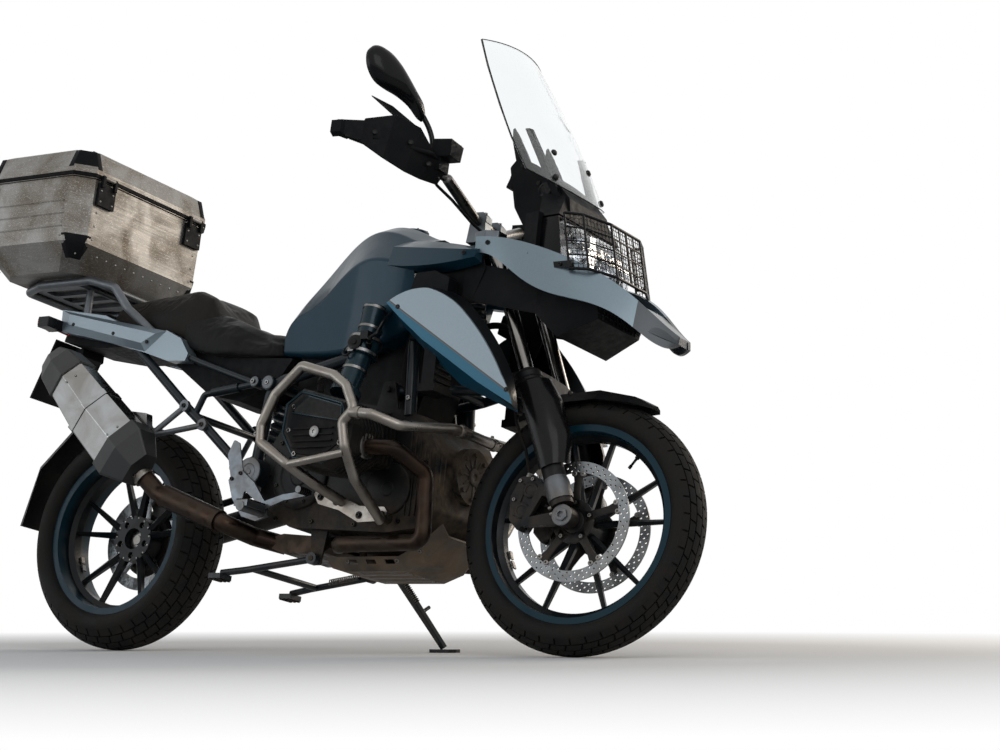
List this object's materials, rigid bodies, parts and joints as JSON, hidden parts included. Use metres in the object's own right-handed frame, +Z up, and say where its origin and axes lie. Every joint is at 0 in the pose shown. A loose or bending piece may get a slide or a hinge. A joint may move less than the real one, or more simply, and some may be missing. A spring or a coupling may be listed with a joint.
{
  "type": "adventure motorcycle",
  "caption": "Adventure motorcycle leaning on its side stand: flat-cylinder engine in crash bars, beak, tall screen, tyred wheels that turn, steering front end, lidded top case.",
  "frame": {"origin": "on the ground, under the middle of the bounding box", "axes": "+X towards the front wheel, +Y to the rider's left, +Z up; the motorcycle leans to its left"},
  "size_m": [2.3466, 1.0539, 1.6113],
  "materials": {
    "frame_paint": "satin",
    "engine_metal": "cast",
    "fin_metal": "cast",
    "header_steel": "heat tinted",
    "silencer_steel": "polished",
    "guard_steel": "satin",
    "tank_paint": "metallic",
    "panel_paint": "metallic",
    "black_plastic": "grained",
    "seat_cover": "matt",
    "screen_clear": "clear",
    "lamp_clear": "clear",
    "lamp_red": "gloss",
    "case_metal": "brushed",
    "fork_metal": "satin",
    "slider_metal": "cast",
    "bar_metal": "satin",
    "rim_paint": "satin",
    "tyre_rubber": "matt",
    "disc_steel": "ground",
    "plate_metal": "brushed",
    "hose_rubber": "matt"
  },
  "bodies": {
    "chassis": {"main_frame": "frame_paint", "rear_subframe": "frame_paint", "engine": "engine_metal", "cylinder_right": "fin_metal", "cylinder_left": "fin_metal", "intakes": "black_plastic", "airbox": "black_plastic", "exhaust_pipes": "header_steel", "silencer": "silencer_steel", "skid_plate": "plate_metal", "crash_bar_right": "guard_steel", "crash_bar_left": "guard_steel", "tank": "tank_paint", "shroud_right": "panel_paint", "shroud_left": "panel_paint", "radiators": "black_plastic", "beak": "panel_paint", "nose_duct": "black_plastic", "headlight": "lamp_clear", "headlight_guard": "frame_paint", "cockpit": "black_plastic", "windshield": "screen_clear", "rider_seat": "seat_cover", "pillion_seat": "seat_cover", "tail_unit": "black_plastic", "tail_panels": "panel_paint", "luggage_rack": "bar_metal", "case_shell": "case_metal", "case_fittings": "black_plastic", "tail_light": "lamp_red", "plate_holder": "black_plastic", "swingarm": "slider_metal", "struts": "frame_paint", "suspension_arm": "frame_paint", "rear_hugger": "black_plastic", "footrests": "plate_metal", "pillion_pegs": "slider_metal"},
    "case_lid": {"case_lid": "case_metal"},
    "centre_stand": {"centre_stand": "frame_paint"},
    "side_stand": {"side_stand": "frame_paint"},
    "fork": {"fork_tubes": "fork_metal", "fork_sliders": "slider_metal", "handlebar": "bar_metal", "hand_controls": "black_plastic", "handguards": "black_plastic", "mirrors": "black_plastic", "front_fender": "black_plastic", "front_calipers": "slider_metal", "brake_hoses": "hose_rubber", "front_axle": "fork_metal"},
    "front_wheel": {"front_rim": "rim_paint", "front_tyre": "tyre_rubber", "front_discs": "disc_steel"},
    "rear_wheel": {"rear_rim": "rim_paint", "rear_tyre": "tyre_rubber", "rear_disc": "disc_steel"}
  },
  "joints": [
    {"name": "steering", "type": "hinge", "parent": "chassis", "child": "fork", "pos_m": [0.62059, -0.08478, 0.6786], "axis": [-0.4295, 0.1639, 0.8881], "range_deg": [-43.9, 32.1]},
    {"name": "front_wheel_spin", "type": "hinge", "parent": "fork", "child": "front_wheel", "pos_m": [0.84946, -0.14601, 0.31836], "axis": [-0.093, 0.9701, -0.224], "continuous": true},
    {"name": "rear_wheel_spin", "type": "hinge", "parent": "chassis", "child": "rear_wheel", "pos_m": [-0.65731, -0.15232, 0.31424], "axis": [-0.0002, 0.9834, -0.1815], "continuous": true},
    {"name": "side_stand_swing", "type": "hinge", "parent": "chassis", "child": "side_stand", "pos_m": [0.17258, -0.0252, 0.21966], "axis": [0.2349, 0.8538, 0.4646], "range_deg": [0, 112]},
    {"name": "centre_stand_swing", "type": "hinge", "parent": "chassis", "child": "centre_stand", "pos_m": [0.11259, -0.16902, 0.22289], "axis": [0.0002, -0.9834, 0.1815], "range_deg": [0, 95]},
    {"name": "case_lid_hinge", "type": "hinge", "parent": "chassis", "child": "case_lid", "pos_m": [-0.74518, 0.03014, 1.30264], "axis": [-0.0002, 0.9834, -0.1815], "range_deg": [0, 95]}
  ]
}
